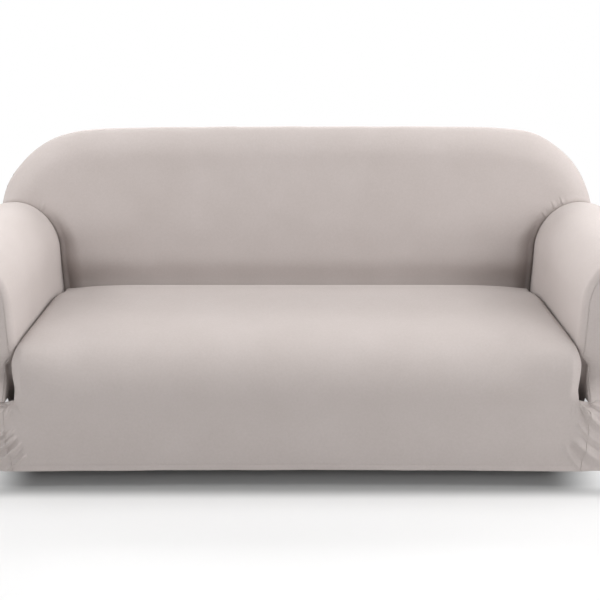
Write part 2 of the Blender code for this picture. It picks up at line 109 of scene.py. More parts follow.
BACK_FOOT = 0.15
BACK_LEAN = 0.075
RIDGE_Y = 0.27
BULLNOSE = 0.085
SIDE_DEEP = 0.03
SIDE_WIDE = 0.062
SIDE_NARROW = 0.026
RECESS = 0.015
RECESS_Z = 0.336
RECESS_HALF = 0.011
BACK_END = 0.958
RIDGE_TOP = 0.8235

TOP = {
    "right": (
        (0.0, 0.8235), (0.2, 0.8235), (0.4, 0.8235), (0.54, 0.8225), (0.62, 0.82),
        (0.68, 0.816), (0.722, 0.81), (0.762, 0.7985), (0.803, 0.777), (0.843, 0.749),
        (0.879, 0.715), (0.908, 0.677), (0.931, 0.637), (0.948, 0.598), (0.958, 0.555),
    ),
    "left": (
        (0.0, 0.8235), (0.2, 0.823), (0.4, 0.8215), (0.52, 0.8195), (0.61, 0.8165),
        (0.675, 0.8115), (0.722, 0.803), (0.764, 0.79), (0.806, 0.769), (0.848, 0.739),
        (0.885, 0.703), (0.917, 0.665), (0.941, 0.625), (0.954, 0.589), (0.958, 0.555),
    ),
}

# Rows of the back: (place on the arm's section, middle height), then behind the ridge
# (place, depth at the arm, depth in the middle, middle height)
REAR_ROWS = (
    (0.00, 0.22), (0.25, 0.285), (0.5, 0.345), (0.75, 0.4), (1.00, 0.455), (1.09, 0.51),
    (1.18, 0.565), (1.27, 0.617), (1.36, 0.667), (1.45, 0.712), (1.53, 0.75), (1.585, 0.782),
    (1.62, 0.805), (1.64, 0.818),
)
BEHIND_ROWS = (
    (1.652, 0.27, 0.27, 0.8235), (1.656, 0.3, 0.299, 0.815), (1.662, 0.326, 0.323, 0.793),
    (1.672, 0.349, 0.336, 0.76), (1.692, 0.368, 0.342, 0.71), (1.725, 0.38, 0.347, 0.655),
    (1.775, 0.385, 0.353, 0.595), (1.84, 0.385, 0.359, 0.535), (1.92, 0.385, 0.365, 0.475),
    (2.000, 0.385, 0.371, 0.415), (2.15, 0.385, 0.377, 0.355), (2.32, 0.385, 0.383, 0.285),
    (2.5, 0.385, 0.389, 0.215), (2.68, 0.385, 0.395, 0.14), (2.84, 0.385, 0.4, 0.07),
    (3.000, 0.385, 0.405, 0.0000),
)
FACING_Q = (1.45, 1.53, 1.585, 1.62, 1.64, 1.652, 1.656, 1.662, 1.672, 1.692, 1.725, 1.775, 1.84)
FACING = (0, 8, 25, 50, 70, 82, 90, 98, 110, 132, 155, 174, 180)

# The same rows where they start on the arm's front edge
INNER_Z = (ARM_FOOT, 0.234, 0.255, 0.282, 0.325, 0.368, 0.412, ROLL_Z)
OUTER_Z = (0.368, 0.282, PINCH, 0.14, 0.072, 0.0)
ARCH_QS = (
    1.1, 1.2, 1.3, 1.4, 1.5, 1.6, 1.69, 1.74,
    1.785, 1.82, 1.855, 1.885, 1.92, 1.95, 1.975, 2.0,
)
FRONT_QS = [(z - ARM_FOOT) / (ROLL_Z - ARM_FOOT) for z in INNER_Z]
FRONT_QS += list(ARCH_QS) + [3 - z / ROLL_Z for z in OUTER_Z]
REAR_QS = [row[0] for row in REAR_ROWS + BEHIND_ROWS]
ROWS = len(REAR_QS)
SIGN = {"right": 1, "left": -1}

# ---- what only the looks have

CLOTH = 0.001
HEM_FOLD = 0.016
HEM_HEIGHTS = (0.0, 0.0015, 0.003, 0.0045, 0.006, 0.008, 0.011, 0.0145)
MITRE = 0.75
TURN_STEPS = 6
WALL_STEPS = (0.06, 0.2, 0.5, 1.0)
LEAD = 7

# Pull lines at the foot of each arm, as in the photograph: x and z of its start, its middle and its end,
# half width, height
FOLDS = {
    "right": (
        (0.7618, 0.2053, 0.7924, 0.1925, 0.8642, 0.162, 0.0035, 0.005),
        (0.7707, 0.1953, 0.8072, 0.1703, 0.8606, 0.137, 0.0041, -0.0042),
        (0.7499, 0.2038, 0.7698, 0.1676, 0.7958, 0.1397, 0.0024, 0.003),
        (0.7583, 0.2008, 0.7746, 0.1759, 0.8003, 0.1537, 0.0022, 0.0026),
        (0.7659, 0.187, 0.8036, 0.1439, 0.8806, 0.0837, 0.0065, 0.009),
        (0.752, 0.1953, 0.771, 0.1481, 0.785, 0.0978, 0.0054, -0.0056),
        (0.7794, 0.1425, 0.8054, 0.116, 0.8535, 0.0837, 0.0054, -0.0036),
        (0.7522, 0.1481, 0.7816, 0.109, 0.8556, 0.0527, 0.0043, 0.0046),
        (0.7628, 0.1062, 0.7974, 0.0725, 0.8514, 0.0357, 0.0043, -0.003),
        (0.747, 0.1006, 0.7848, 0.0584, 0.8592, 0.0016, 0.0087, 0.008),
        (0.7367, 0.0922, 0.7697, 0.0386, 0.8285, -0.0169, 0.0076, -0.0046),
        (0.7181, 0.0865, 0.7451, 0.0414, 0.7842, -0.0107, 0.006, 0.0042),
        (0.7461, 0.2023, 0.7462, 0.1842, 0.7459, 0.1537, 0.0019, 0.0022),
        (0.7372, 0.1994, 0.7355, 0.1842, 0.7316, 0.1592, 0.0024, 0.002),
        (0.754, 0.303, 0.7606, 0.3145, 0.7749, 0.3288, 0.0022, 0.0024),
        (0.7582, 0.2886, 0.7672, 0.303, 0.7837, 0.3202, 0.0024, 0.0022),
    ),
    "left": (
        (0.7754, 0.2038, 0.7953, 0.1883, 0.845, 0.1676, 0.0032, 0.006),
        (0.7647, 0.2038, 0.7772, 0.1787, 0.7929, 0.1425, 0.0043, -0.0035),
        (0.7815, 0.1953, 0.7994, 0.1676, 0.8367, 0.1314, 0.0035, -0.0024),
        (0.7805, 0.1258, 0.8094, 0.0964, 0.8638, 0.0527, 0.0035, 0.007),
        (0.7534, 0.1286, 0.7906, 0.095, 0.8537, 0.0414, 0.0041, 0.0052),
        (0.7519, 0.109, 0.7919, 0.0739, 0.8603, 0.0244, 0.0049, 0.0096),
        (0.7558, 0.0894, 0.7929, 0.0584, 0.8444, 0.0187, 0.0035, -0.0026),
        (0.7395, 0.0894, 0.7854, 0.0485, 0.8462, -0.0045, 0.0043, 0.0083),
        (0.7378, 0.0725, 0.7642, 0.04, 0.7962, 0.0073, 0.0024, -0.0026),
        (0.7282, 0.0527, 0.7653, 0.0229, 0.8091, -0.0138, 0.0038, 0.0065),
        (0.7602, 0.1925, 0.7727, 0.1648, 0.7909, 0.1314, 0.0032, 0.0034),
        (0.752, 0.2023, 0.7525, 0.187, 0.7529, 0.162, 0.0019, 0.0029),
        (0.7438, 0.198, 0.7392, 0.1842, 0.7271, 0.162, 0.0027, 0.0026),
        (0.7599, 0.2973, 0.7695, 0.3059, 0.7867, 0.3174, 0.0022, 0.0031),
        (0.7641, 0.2828, 0.7737, 0.2915, 0.7909, 0.303, 0.0024, 0.0029),
    ),
}

# Small tucks in the back where it runs into the roll: place on the arm's section, half width, height, length
TUCKS = {
    "right": (
        (1.372, 0.0016, -0.0026, 0.036), (1.384, 0.004, 0.0012, 0.03),
        (1.312, 0.0016, -0.0026, 0.036), (1.326, 0.004, 0.0014, 0.034),
        (1.226, 0.0018, -0.0024, 0.03), (1.24, 0.004, 0.0012, 0.028),
    ),
    "left": ((1.29, 0.0016, -0.0024, 0.036), (1.304, 0.004, 0.0014, 0.034), (1.395, 0.003, 0.0008, 0.03)),
}


def vec(*values):
    return np.array(values, float)


def norm(v):
    return np.linalg.norm(v, axis=-1, keepdims=True)


def unit(v):
    return v / np.maximum(norm(v), 1e-12)


def dot(a, b):
    return (a * b).sum(axis=-1, keepdims=True)


def mix(a, b, t):
    return a + (b - a) * t


def smooth(t):
    t = np.clip(t, 0.0, 1.0)
    return t * t * (3 - 2 * t)


def across(v, along):
    return unit(v - dot(v, along) * along)


def stacked(x, y, z):
    return np.stack(np.broadcast_arrays(np.asarray(x, float), y, z), axis=-1)


def steps(start, stop, size):
    """Evenly spaced values from start to stop, about size apart."""
    return np.linspace(start, stop, max(int(round(abs(stop - start) / size)), 1) + 1)


def length_along(line):
    """Length run along a line of points, from its first one."""
    return np.concatenate([[0.0], np.cumsum(norm(np.diff(line, axis=0))[:, 0])])


def spline(values, at):
    """A natural cubic spline through values, one for each whole number, read at the places in at."""
    values = np.asarray(values, float)
    flat = values.reshape(len(values), -1)
    count = len(flat)
    system = np.eye(count)
    bend = np.zeros_like(flat)
    for i in range(1, count - 1):
        system[i, i - 1: i + 2] = (1, 4, 1)
        bend[i] = 6 * (flat[i + 1] - 2 * flat[i] + flat[i - 1])
    bend = np.linalg.solve(system, bend)
    at = np.asarray(at, float)
    i = np.clip(np.floor(at).astype(int), 0, count - 2)
    b = (at - i)[:, None]
    a = 1 - b
    out = a * flat[i] + b * flat[i + 1] + ((a ** 3 - a) * bend[i] + (b ** 3 - b) * bend[i + 1]) / 6
    return out.reshape((len(at),) + values.shape[1:])


# ---- seams

def turned(crease, arrive, inward, radius, depth):
    """For each crease point, the line of a cloth that leaves its face, bends round and runs in."""
    bend = np.arccos(np.clip(dot(arrive, inward), MOST_BEND, 1.0))
    reach = radius * np.tan(bend / 2)
    aside = across(inward, arrive)
    start = crease - reach * arrive
    line = []
    for share in np.linspace(0, 1, TURN_STEPS + 1):
        angle = bend * share
        line.append(start + radius * (np.sin(angle) * arrive + (1 - np.cos(angle)) * aside))
    for share in WALL_STEPS:
        line.append(crease + (reach + depth * share) * inward)
    return np.stack(line, axis=1)


def seam(crease, normal_a, normal_b, radius, depth, gap=GAP):
    """Both cloths of a seam along the crease, each as (turned edge, direction it arrives in)."""
    along = unit(np.gradient(crease, axis=0))
    normal_a = across(normal_a, along)
    normal_b = across(normal_b, along)
    inward = across(-(normal_a + normal_b), along)
    arrive_a = across(np.cross(normal_a, along), along)
    arrive_b = across(np.cross(along, normal_b), along)
    apart = across(arrive_a, inward) * gap / 2
    return (
        (turned(crease - apart, arrive_a, inward, radius, depth), arrive_a),
        (turned(crease + apart, arrive_b, inward, radius, depth), arrive_b),
    )


def read_table(places, table, at):
    """The rows of a table known at places, read between them."""
    at = np.asarray(at, float)
    i = np.clip(np.searchsorted(places, at, side="right") - 1, 0, len(places) - 2)
    share = ((at - places[i]) / (places[i + 1] - places[i])).reshape((-1,) + (1,) * (table.ndim - 1))
    return table[i] * (1 - share) + table[i + 1] * share


def led_into(rows, edge, arrive, reach, fractions):
    """Fine rows that end at a crease, drawn until reach before it and then led into the turned edge."""
    out = []
    for row, turn, heading in zip(rows, edge, arrive):
        length = length_along(row)

        def at(place):
            return np.stack([np.interp(place, length, row[:, k]) for k in range(3)], axis=-1)

        stop = length[-1] - reach
        body = at(stop * fractions)
        leave = unit(at(stop + 0.0005) - at(stop - 0.0045))
        span = np.linalg.norm(turn[0] - body[-1])
        t = np.linspace(0, 1, LEAD + 1)[1:-1, None]
        lead = (
            (2 * t ** 3 - 3 * t ** 2 + 1) * body[-1]
            + (t ** 3 - 2 * t ** 2 + t) * span * leave
            + (3 * t ** 2 - 2 * t ** 3) * turn[0]
            + (t ** 3 - t ** 2) * span * heading
        )
        out.append(np.concatenate([body, lead, turn]))
    return np.array(out)


# ---- arm

def arm_section(q):
    """Place and outward normal on the arm's section: 0 to 1 inside face, 1 to 2 roll, 2 to 3 outside."""
    q = np.asarray(q, float)
    angle = math.pi * (2 - np.clip(q, 1, 2))
    down = np.clip(q - 2, 0, 1)
    outer = mix(ROLL_X + ROLL_A, ARM_OUT_HEM, down ** 1.5) + ARM_OUT_BULGE * np.sin(math.pi * down) * 0.5
    x = np.where(q <= 2, ROLL_X + ROLL_A * np.cos(angle), outer)
    rise = np.where(q <= 1, mix(ARM_FOOT, ROLL_Z, q), ROLL_Z + ROLL_B * np.sin(angle))
    z = np.where(q <= 2, rise, ROLL_Z * (1 - down))
    nx = np.where(q <= 2, np.cos(angle) / ROLL_A, 1.0)
    nz = np.where(q <= 2, np.sin(angle) / ROLL_B, 0.04 * (down - 0.3))
    return stacked(x, 0.0, z), unit(stacked(nx, 0.0, nz))


def arm_drop(y):
    t = np.clip((y - DROP_START) / DROP_LONG, 0.0, 0.98)
    left = DROP_HIGH * np.sqrt(1 - t * t)
    high = ROLL_Z + ROLL_B
    return (high - DROP_HIGH + left - DROP_FROM) / (high - DROP_FROM)


def flare(q, z):
    """How the arm's inside face stands away from the cushion at its front edge, and sags there."""
    inside = np.asarray(q) <= 1
    aside = FLARE * (1 - smooth((z - FLARE_TOP) / 0.036)) * inside
    return stacked(aside, 0.0, -FLARE_SAG * (1 - smooth((z - ARM_FOOT) / 0.08)) * inside)


def arm_point(q, y):
    place, normal = arm_section(q)
    y = np.broadcast_to(y, place.shape[:-1])
    past = np.clip(y - REAR_START, 0.0, REAR_ROUND * 0.99)
    inset = REAR_ROUND - np.sqrt(REAR_ROUND ** 2 - past ** 2)
    past = y - YIELD_START
    inset = inset + YIELD * (past + np.sqrt(past ** 2 + 4e-4)) / 2 * (1 - smooth((q - 1.05) / 0.45))
    p = place - inset[..., None] * normal
    tuck = (1 - smooth((p[..., 2] - ARM_FOOT) / 0.06)) * smooth((y + 0.397) / 0.012)
    tuck = tuck * (1 - smooth((y + 0.30) / 0.05))
    p = p + flare(q, p[..., 2]) * smooth((FLARE_END - y) / 0.028)[..., None]
    z = p[..., 2] - FOOT_TUCK * tuck * (q <= 1)
    return stacked(p[..., 0], y, np.where(z > DROP_FROM, DROP_FROM + (z - DROP_FROM) * arm_drop(y), z))


def arm_normal(q, y):
    h = 1e-3
    along = arm_point(np.minimum(q + h, 3), y) - arm_point(np.maximum(q - h, 0), y)
    rear = arm_point(q, y) - arm_point(q, y - h)
    return unit(np.cross(along, rear))


def front_seam_y(q):
    z = arm_section(q)[0][..., 2]
    inner = FRONT_SEAM - 0.045 * (1 - smooth((z - PINCH) / 0.060))
    outer = FRONT_SEAM - 0.028 * (1 - smooth(z / 0.320))
    return np.where(q <= 1, inner, np.where(q <= 2, FRONT_SEAM, outer))


def front_edge(q, angle):
    """Points on the arm's rounded front edge: angle 0 is the arm's side, a right angle faces the front."""
    place, normal = arm_section(q)
    radius = mix(FLARE_ROUND, INNER_ROUND, smooth((place[..., 2] - FLARE_TOP) / 0.05))
    radius = mix(radius, FRONT_ROUND, smooth((q - 0.7) / 0.6))
    p = place - (radius * (1 - math.cos(angle)))[..., None] * normal + flare(q, place[..., 2])
    return stacked(p[..., 0], front_seam_y(q) + radius * (math.sin(FRONT_ANGLE) - math.sin(angle)), p[..., 2])


FINE_Q = np.linspace(0, 3, 901)


def front_seam():
    """Arm front and arm panel along the arm's front edge, at each place in FINE_Q."""
    crease = front_edge(FINE_Q, FRONT_ANGLE)
    normal = arm_section(FINE_Q)[1] * math.cos(FRONT_ANGLE) + vec(0, -math.sin(FRONT_ANGLE), 0)
    return seam(crease, normal, normal, FINE_TURN, ALLOWANCE, FINE_GAP)


# ---- back

def outline_of(side, count=420):
    """The outline of the back's top, evenly spaced from the middle to the end: (x, z)."""
    points = np.array(TOP[side])
    place = np.linspace(0, len(points) - 1, 3000)
    i = np.minimum(place.astype(int), len(points) - 2)
    part = (place - i)[:, None]
    a, b, c, d = (points[np.clip(i + k, 0, len(points) - 1)] for k in (-1, 0, 1, 2))
    line = b + 0.5 * part * (c - a + part * (2 * a - 5 * b + 4 * c - d + part * (3 * (b - c) + d - a)))
    length = length_along(line)
    at = np.linspace(0, length[-1], count)
    return np.stack([np.interp(at, length, line[:, k]) for k in (0, 1)], axis=-1)


def side_round(z):
    """How far the back's edge beside the arm bends away, and how wide that bend is."""
    fade = smooth((z - 0.42) / 0.18)
    return SIDE_DEEP * (1 - fade), SIDE_WIDE - SIDE_NARROW * fade


def back_front_y(x, z, outline):
    """Depth of the inside back: upright at the seat, leaning above it, bending back at its top and ends."""
    lean = BACK_FOOT + BACK_LEAN * smooth((z - 0.31) / 0.60) ** 0.9
    deep, wide = side_round(z)
    off = np.hypot((np.abs(x) - ROLL_X) / ROLL_A, np.maximum(z - ROLL_Z, 0.0) / ROLL_B) - 1
    lean = lean + deep * np.clip(1 - 0.147 * off / wide, 0.0, 1.0) ** 2.2
    lean = lean + RECESS * np.exp(-((z - RECESS_Z) / RECESS_HALF) ** 2)
    p = stacked(x, z, 0.0)[..., :2].reshape(-1, 1, 2)
    start = outline[:-1]
    run = outline[1:] - start
    near = np.empty(len(p))
    for k in range(0, len(p), 4000):
        some = p[k: k + 4000]
        t = np.clip(((some - start) * run).sum(-1) / (run * run).sum(-1), 0, 1)
        near[k: k + 4000] = np.sqrt(((some - start - t[..., None] * run) ** 2).sum(-1).min(axis=1))
    t = np.clip(1 - near.reshape(np.shape(lean)) / BULLNOSE, 0, 1)
    return lean + (RIDGE_Y - lean) * (1 - np.sqrt(1 - t * t))


def rear_depths(outline):
    """How far back the crease between back and arm lies in each row."""
    q = np.array([row[0] for row in REAR_ROWS])
    y = np.full(len(q), BACK_FOOT)
    for _ in range(12):
        p = arm_point(q, y)
        y = back_front_y(p[:, 0], p[:, 2], outline)
    return np.concatenate([y, [row[1] for row in BEHIND_ROWS]])


FINE_S = np.linspace(0, ROWS - 1, 871)


def rear_seam(outline):
    """Arm panel and back along the crease between them, at each row in FINE_S."""
    q = spline(REAR_QS, FINE_S)
    y = spline(rear_depths(outline), FINE_S)
    side_deep, side_wide = side_round(arm_point(q, y)[:, 2])
    aside = np.arctan(2.2 * side_deep / side_wide) * (1 - smooth((q - 1.30) / 0.15))
    facing = np.maximum(np.radians(np.interp(q, FACING_Q, FACING)), aside)
    deep = mix(TUCK, ALLOWANCE, smooth((q - 1.40) / 0.2))[:, None]
    crease = arm_point(q, y)
    arm, back = seam(crease, arm_normal(q, y), stacked(np.sin(facing), -np.cos(facing), 0.0), TURN, deep)
    return {"q": q, "y": y, "crease": crease, "arm": arm, "back": back}


# ---- relief

def fold_height(x, z, folds):
    """How far the pull lines stand out of the cloth at places on the front."""
    x, z = np.broadcast_arrays(np.asarray(x, float), z)
    total = np.zeros(x.shape)
    for *points, half, high in folds:
        t = np.linspace(0, 1, 17)[:, None]
        a, b, c = np.reshape(points, (3, 2))
        curve = (1 - t) ** 2 * a + 2 * t * (1 - t) * (2 * b - (a + c) / 2) + t * t * c
        start = curve[:-1]
        run = np.diff(curve, axis=0)
        off = np.stack([x, z], axis=-1)[..., None, :] - start
        along = (off * run).sum(-1) / (run * run).sum(-1)
        held = np.clip(along, 0, 1)
        away = np.sqrt(((off - held[..., None] * run) ** 2).sum(-1))
        nearest = away.argmin(axis=-1)[..., None]
        place = (nearest[..., 0] + np.take_along_axis(held, nearest, -1)[..., 0]) / len(run)
        away = np.take_along_axis(away, nearest, -1)[..., 0]
        fade = smooth((place + 0.02) / 0.22) * smooth((1.0 - place) / 0.60)
        total += high * fade * np.exp(-(away / half) ** 2)
    return total


def unevenness(p):
    """The slight waves of cloth stretched over padding."""
    x, y, z = p[..., 0], p[..., 1], p[..., 2]
    return 0.0005 * (
        np.sin(17.0 * x + 5.0 * z + 0.4) * np.sin(13.0 * z - 9.0 * y + 1.3)
        + 0.7 * np.sin(31.0 * x - 11.0 * y + 2.1) * np.sin(23.0 * z + 17.0 * y + 0.2)
        + 0.5 * np.sin(47.0 * x + 29.0 * y + 4.0) * np.sin(41.0 * z - 13.0 * x + 2.7)
    )


def hem_roll(z):
    """The hem's rolled edge, and the faint line above it where the turned-up cloth ends."""
    return 0.0013 * np.exp(-((z - 0.0035) / 0.0035) ** 2) - 0.0005 * np.exp(-((z - HEM_FOLD) / 0.003) ** 2)


def raised(p, height, outward):
    """The grid with each point moved by height along its outward normal, but kept level at the hem."""
    normal = unit(np.cross(np.gradient(p, axis=1), np.gradient(p, axis=0)))
    if (normal * outward).sum() < 0:
        normal = -normal
    out = p + height[..., None] * normal
    low = p[..., 2] < 0.02
    out[..., 2] = np.where(low, p[..., 2], out[..., 2])
    return out


# ---- sheets

def linked(name, data):
    """A new object in the scene."""
    obj = bpy.data.objects.new(name, data)
    bpy.context.scene.collection.objects.link(obj)
    return obj


class Sheet:
    """Patches of points gathered into one cloth. Points that coincide become one."""

    def __init__(self):
        self.points = []
        self.flats = []
        self.seams = []
        self.quads = []
        self.count = 0

    def add(self, points, flat, seams):
        rows, columns = points.shape[:2]
        number = np.arange(rows * columns).reshape(rows, columns) + self.count
        ring = (number[:-1, :-1], number[:-1, 1:], number[1:, 1:], number[1:, :-1])
        self.quads.append(np.stack(ring, axis=-1).reshape(-1, 4))
        self.points.append(points.reshape(-1, 3))
        self.flats.append(flat.reshape(-1, 2))
        self.seams.append(seams.reshape(-1, 2))
        self.count += rows * columns

    def object(self, name, outward, material):
        points = np.concatenate(self.points)
        flat = np.concatenate(self.flats)
        seams = np.concatenate(self.seams)
        quads = np.concatenate(self.quads)
        points[np.abs(points[:, 2]) < 2e-4, 2] = 0.0
        cells = np.round(points * 2e6).astype(np.int64)
        _, first, same = np.unique(cells, axis=0, return_index=True, return_inverse=True)
        same = same.reshape(-1)
        points = points[first]
        corners = same[quads]
        a, b, c, d = (points[corners[:, k]] for k in range(4))
        cross = np.cross(c - a, d - b)
        if cross.sum(axis=0) @ outward < 0:
            corners = corners[:, ::-1]
            quads = quads[:, ::-1]
            cross = -cross
        normals = np.zeros_like(points)
        for k in range(4):
            np.add.at(normals, corners[:, k], cross)
        normals = unit(normals)
        face_normals = unit(cross)
        tightest = np.ones(len(points))
        for k in range(4):
            np.minimum.at(tightest, corners[:, k], (normals[corners[:, k]] * face_normals).sum(-1))
        thick = CLOTH * (1 + smooth((HEM_FOLD - points[:, 2]) / 0.003))
        inner = points - normals * (thick / np.maximum(tightest, MITRE))[:, None]
        hem = np.abs(points[:, 2]) < 1e-6
        inner[hem, 2] = 0.0
        count = len(points)

        faces = []
        sources = []
        for ring, source in zip(corners.tolist(), quads.tolist()):
            kept = [k for k in range(4) if ring[k] != ring[k - 1]]
            if len(kept) > 2:
                faces.append([ring[k] for k in kept])
                sources.append([source[k] for k in kept])
        edges = {}
        for ring, source in zip(faces, sources):
            for k in range(len(ring)):
                edges[(ring[k - 1], ring[k])] = (source[k - 1], source[k])
        rim = [
            ((b, a, a + count, b + count), (t, s, s, t))
            for (a, b), (s, t) in edges.items() if (b, a) not in edges
        ]
        behind = [[i + count for i in ring[::-1]] for ring in faces]
        behind_sources = [source[::-1] for source in sources]
        everything = faces + behind + [list(ring) for ring, _ in rim]
        origin = [i for source in sources + behind_sources + [s for _, s in rim] for i in source]

        mesh = bpy.data.meshes.new(name)
        placed = np.concatenate([points, inner]) + vec(0, MIDDLE_Y, 0)
        mesh.from_pydata(placed.tolist(), [], everything)
        for label, values in (("cloth", flat), ("seam", seams)):
            layer = mesh.uv_layers.new(name=label)
            layer.data.foreach_set("uv", values[origin].astype(np.float32).ravel())
        mesh.polygons.foreach_set("use_smooth", [True] * len(mesh.polygons))
        mesh.set_sharp_from_angle(angle=math.radians(55))
        mesh.materials.append(material)
        return linked(name, mesh)


def running(points, axis):
    """Length run along an axis of a grid, from its first row or column."""
    length = np.linalg.norm(np.diff(points, axis=axis), axis=-1)
    shape = list(length.shape)
    shape[axis] = 1
    return np.concatenate([np.zeros(shape), np.cumsum(length, axis=axis)], axis=axis)


def mirrored(p):
    return p * vec(-1, 1, 1)


def flatten(grid, start):
    """Cloth coordinates of a grid in metres, with the columns measured from the one called start."""
    u = running(grid, 1)
    v = running(grid, 0).mean(axis=1, keepdims=True)
    u = u - u[:, start: start + 1]
    return np.stack(np.broadcast_arrays(u, v), axis=-1)


def seam_map(grid, creases):
    """For each point of a grid: the run along its nearest seam, and the distance to it."""
    u = running(grid, 1)
    best = np.full(u.shape, 9.0)
    along = np.zeros(u.shape)
    for column in creases:
        run = length_along(grid[:, column])[:, None]
        away = np.abs(u - u[:, column: column + 1])
        along = np.where(away < best, run, along)
        best = np.minimum(best, away)
    return np.stack([along, np.minimum(best, 0.2)], axis=-1)


# ---- the six cloths

HEM_S = ROWS - 1 - np.array(HEM_HEIGHTS[::-1]) / 0.072
TURNED = TURN_STEPS + 1 + len(WALL_STEPS)


def level(grid, row):
    """The grid with one row laid level at the hem and none below it."""
    grid[row, :, 2] = 0.0
    grid[..., 2] = np.maximum(grid[..., 2], 0.0)
    return grid


def back_half(side, outline, edge_table):
    rows = []
    places = [(row[1], None) for row in REAR_ROWS] + [(row[3], row[2]) for row in BEHIND_ROWS]
    ends = arm_point(np.array(REAR_QS), rear_depths(outline))
    end_z = outline[-1, 1]
    for end, (middle_z, middle_y) in zip(ends, places):
        lift = (outline[:, 1] - end_z) / (RIDGE_TOP - end_z)
        x = outline[:, 0] * min(end[0], BACK_END) / BACK_END
        z = mix(end[2], middle_z, lift)
        y = back_front_y(x, z, outline) if middle_y is None else mix(end[1], middle_y, lift)
        rows.append(stacked(x, y, z))
    finer = [steps(0, 6.2, 0.16), steps(6.2, 8.9, 0.055)[1:], steps(8.9, 21, 0.21)[1:]]
    finer += [steps(21, HEM_S[0], 0.135)[1:], HEM_S[1:]]
    s = np.concatenate(finer)
    fine = spline(np.array(rows), s)
    edge, arrive = (read_table(FINE_S, part, s) for part in edge_table["back"])
    fine[:, -1] = read_table(FINE_S, edge_table["crease"], s)
    fractions = np.concatenate([steps(0, 0.90, 0.0122), steps(0.90, 1.0, 0.0045)[1:]])
    grid = led_into(fine, edge, unit(arrive), 0.026, fractions)
    q = read_table(FINE_S, edge_table["q"][:, None], s)[:, 0]
    away = np.abs(running(grid, 1) - running(grid, 1)[:, -TURNED: -TURNED + 1])
    run = length_along(grid[:, -TURNED])
    height = np.zeros(away.shape)
    for place, half, high, long in TUCKS[side]:
        centre = np.interp(place, q[q < 1.6], run[q < 1.6])
        off = run[:, None] - centre - 0.35 * away
        height += high * smooth(away / 0.006) * smooth((long - away) / (long * 0.8)) * (
            np.exp(-(off / half) ** 2) - 0.5 * np.exp(-((off - 2 * half) / half) ** 2)
        )
    calm = smooth((away - 0.004) / 0.02)
    calm[:, -TURNED:] = 0
    height[:, -TURNED:] = 0
    height += calm * (unevenness(grid * vec(SIGN[side], 1, 1)) + hem_roll(grid[..., 2]))
    return level(grid, -1), height


def make_back(outlines, rears, material):
    right, high_right = back_half("right", outlines["right"], rears["right"])
    left, high_left = back_half("left", outlines["left"], rears["left"])
    grid = np.concatenate([mirrored(left[:, :0:-1]), right], axis=1)
    height = np.concatenate([high_left[:, :0:-1], high_right], axis=1)
    rows = len(grid)
    facing = np.tile(vec(0, -1, 0.3), (rows, 1, 1))
    facing[rows // 2:] = vec(0, 1, 0.3)
    middle = left.shape[1] - 1
    flat = flatten(grid, middle)
    seams = seam_map(grid, (TURNED - 1, grid.shape[1] - TURNED))
    sheet = Sheet()
    sheet.add(level(raised(grid, height, facing), -1), flat, seams)
    return sheet.object("back_cloth", vec(0, 0, 1), material)


def make_arm_panel(side, rear, front, material):
    inner = np.concatenate([steps(0, 3, 0.16), steps(3, 7, 0.13)[1:]])
    s = np.concatenate([inner, steps(7, 23, 0.24)[1:], steps(23, HEM_S[0], 0.11)[1:], HEM_S[1:]])
    front_q = spline(FRONT_QS, s)
    front_q[-1] = 3.0
    front_q = np.clip(front_q, 0, 3)
    edge, _ = (read_table(FINE_Q, part, front_q) for part in front[1])
    arm_edge, arrive = (read_table(FINE_S, part, s) for part in rear["arm"])
    rear_q = read_table(FINE_S, rear["q"][:, None], s)
    rear_y = read_table(FINE_S, rear["y"][:, None], s)
    around = [front_edge(front_q, FRONT_ANGLE * share) for share in np.linspace(1, 0, 9)[1:]]
    start = around[-1][:, 1:2]
    swing = np.interp(rear_q, (1.64, 1.652, 1.70, 1.85), (0, 1, 1, 0))
    t = np.linspace(0, 1, 260)[None, :]
    q = mix(front_q[:, None], rear_q, mix(t ** 1.5, t ** 3, swing))
    y = mix(start, rear_y, mix(t, 1 - (1 - t) ** 2, swing))
    fine = arm_point(q, y)
    body = led_into(fine, arm_edge, unit(arrive), 0.022, steps(0, 1, 0.0115))
    grid = np.concatenate([edge[:, ::-1], np.stack(around[:-1], axis=1), body], axis=1)
    away_front = running(grid, 1) - running(grid, 1)[:, TURNED - 1: TURNED]
    away_rear = running(grid, 1)[:, -TURNED: -TURNED + 1] - running(grid, 1)
    calm = smooth((np.minimum(away_front, away_rear) - 0.004) / 0.02)
    sign = SIGN[side]
    height = calm * (unevenness(grid * vec(sign, 1, 1)) + hem_roll(grid[..., 2]))
    outward = grid - vec(ROLL_X, 0, 0.33)
    grid = level(raised(grid, height, outward * vec(1, 0, 1)), -1)
    flat = flatten(grid, TURNED - 1)
    seams = seam_map(grid, (TURNED - 1, grid.shape[1] - TURNED))
    if sign < 0:
        grid = mirrored(grid)
    sheet = Sheet()
    sheet.add(grid, flat, seams)
    return sheet.object("arm_cloth_" + side, vec(0, 0, 1), material)


def skirt_y(x, z):
    """Depth of the cloth's front below the cushion, before its pull lines."""
    low = 1 - np.minimum(z / FRONT_BREAK, 1.0)
    low = low ** 2 / (low + 0.25) * 1.25
    return FRONT_FLAT - FRONT_DEEP - low * (FRONT_LEAN + HEM_BOW * (np.abs(x) / 0.79) ** 2)


def skirt_seam_x(z):
    """Where the seat meets the arm front below the pinch."""
    return SEAT_HALF + SEAM_OUT * smooth((PINCH - z) / 0.036) - SEAM_BACK * smooth((0.10 - z) / 0.10)


FINE_Z = np.linspace(0, PINCH, 400)
LOW_Z = np.concatenate([HEM_HEIGHTS, steps(0.017, PINCH, 0.0026)])
HIGH_Z = steps(ARM_FOOT, ROLL_Z, 0.0062)


